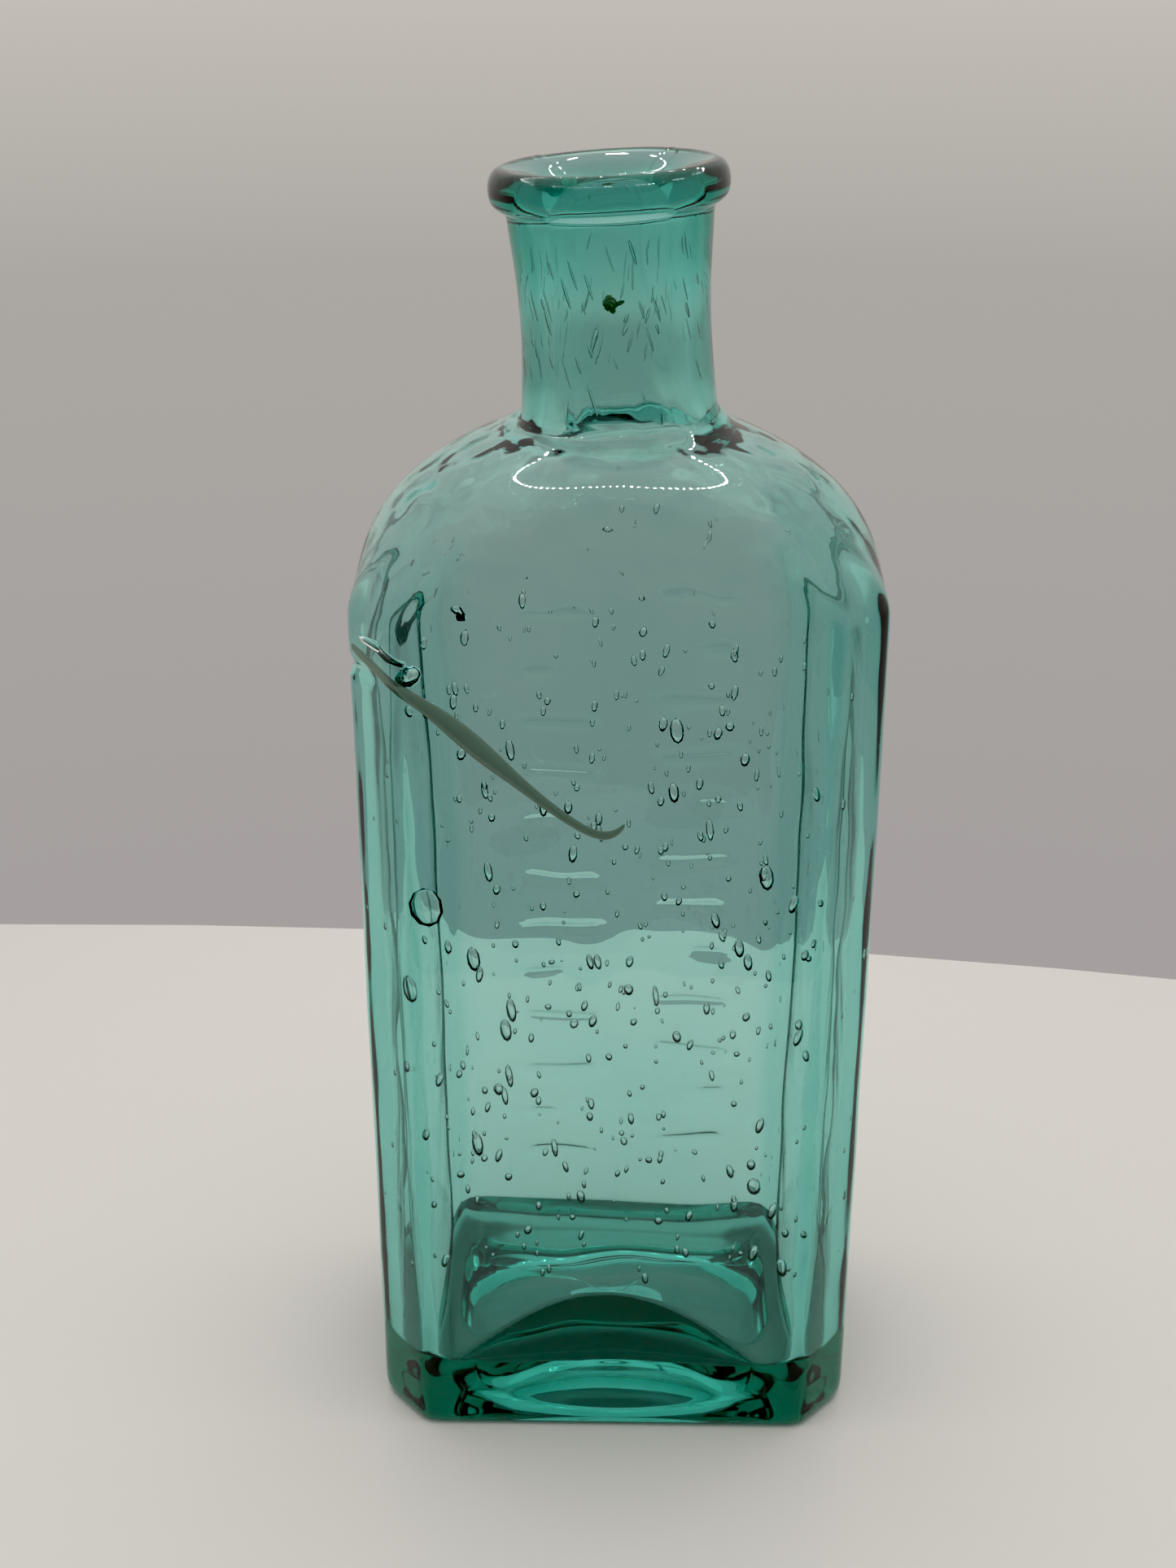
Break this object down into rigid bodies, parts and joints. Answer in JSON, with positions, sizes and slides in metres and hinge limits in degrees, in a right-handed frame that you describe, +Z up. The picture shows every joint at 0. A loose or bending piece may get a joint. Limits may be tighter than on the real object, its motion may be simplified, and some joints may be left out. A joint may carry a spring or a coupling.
{
  "type": "glass medicine bottle",
  "caption": "Flat-sided blown glass bottle with bevelled corners, arched shoulders, a short leaning neck and a rolled ring lip.",
  "frame": {"origin": "middle of the plane that the bottle rests on, under the middle of the body", "axes": "+Z up through the body, +X across the wide front panel, and the front panel faces -Y"},
  "size_m": [0.062, 0.0418, 0.1606],
  "materials": {
    "bottle_glass": "clear aqua glass with seeds and fire-polished ripples",
    "thick_glass": "deep green-aqua glass, seen through its full thickness",
    "lip_glass": "tooled aqua glass with faint tooling rings",
    "thread_glass": "milky devitrified glass streak",
    "residue": "dry crumbly deposit"
  },
  "bodies": {
    "root": {"base": "thick_glass", "front_panel": "bottle_glass", "back_panel": "bottle_glass", "left_side": "bottle_glass", "right_side": "bottle_glass", "front_left_corner": "bottle_glass", "front_right_corner": "bottle_glass", "back_left_corner": "bottle_glass", "back_right_corner": "bottle_glass", "front_shoulder": "bottle_glass", "back_shoulder": "bottle_glass", "neck": "bottle_glass", "lip_ring": "lip_glass", "glass_thread": "thread_glass", "neck_residue": "residue"}
  },
  "joints": []
}
